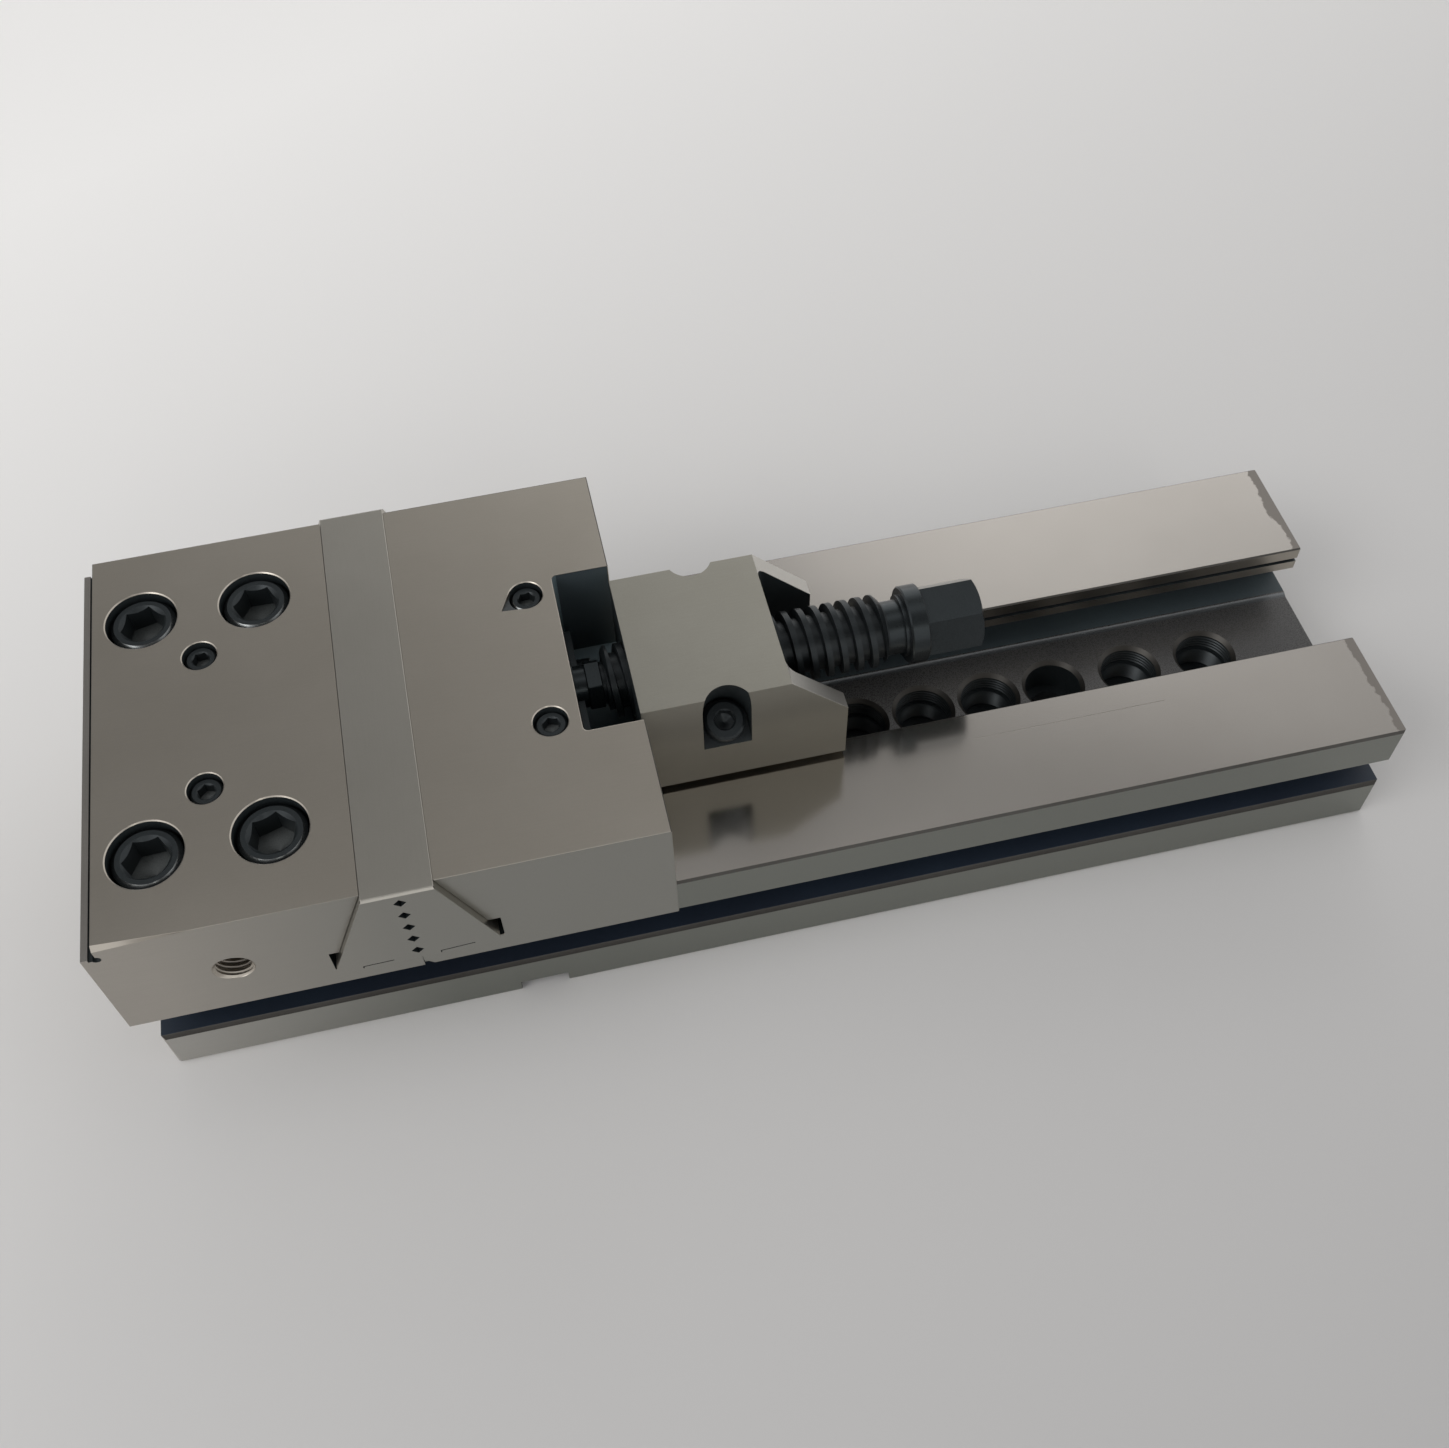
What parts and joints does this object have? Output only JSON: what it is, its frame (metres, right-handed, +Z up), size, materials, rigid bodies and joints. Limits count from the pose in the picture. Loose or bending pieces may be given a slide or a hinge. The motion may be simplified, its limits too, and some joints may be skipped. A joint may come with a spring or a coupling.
{
  "type": "machine vise",
  "caption": "Modular precision machine vise: T-slot bed, bolted fixed jaw, sliding jaw with grooved plates, spindle and indexed nut block.",
  "frame": {"origin": "centre of the bed's underside, at the middle of the overall length", "axes": "+X along the bed from the fixed jaw to the free end, +Y across the bed, +Z up"},
  "size_m": [0.42, 0.15, 0.098],
  "materials": {
    "ground_steel": "ground, fine satin",
    "hard_steel": "hardened and ground",
    "bare_steel": "machined",
    "black_steel": "black oxide, satin"
  },
  "bodies": {
    "bed": {"bed": "ground_steel", "fixed_jaw": "ground_steel", "fixed_jaw_key": "bare_steel", "fixed_key_screws": "black_steel", "fixed_jaw_screws": "black_steel", "fixed_jaw_plate": "hard_steel", "fixed_draw_pins": "bare_steel", "fixed_lock_screws": "black_steel"},
    "jaw": {"movable_jaw": "ground_steel", "movable_jaw_plate": "hard_steel", "movable_draw_pins": "bare_steel", "movable_lock_screws": "black_steel", "jaw_guide_shoe": "bare_steel", "jaw_shoe_screws": "black_steel", "spindle_retainer": "black_steel", "retainer_screws": "black_steel", "thrust_segment": "bare_steel"},
    "spindle": {"spindle": "black_steel"},
    "nut": {"nut_block": "ground_steel", "nut_foot": "bare_steel", "nut_foot_screws": "black_steel", "pin_guide_screw": "black_steel"},
    "index_pin": {"index_pin": "bare_steel"}
  },
  "joints": [
    {"name": "jaw_slide", "type": "slide", "parent": "bed", "child": "jaw", "axis": [1, 0, 0], "range_m": [0, 0.1558]},
    {"name": "spindle_turn", "type": "hinge", "parent": "jaw", "child": "spindle", "pos_m": [-0.01, 0, 0.078], "axis": [-1, 0, 0], "range_deg": [0, 2088]},
    {"name": "nut_feed", "type": "slide", "parent": "jaw", "child": "nut", "axis": [1, 0, 0], "range_m": [0, 0.029]},
    {"name": "pin_drop", "type": "slide", "parent": "nut", "child": "index_pin", "axis": [0, 0, -1], "range_m": [0, 0.008]}
  ],
  "couplings": [
    {"joint": "spindle_turn", "follows": "nut_feed", "rad_per_m": 1256.6}
  ]
}
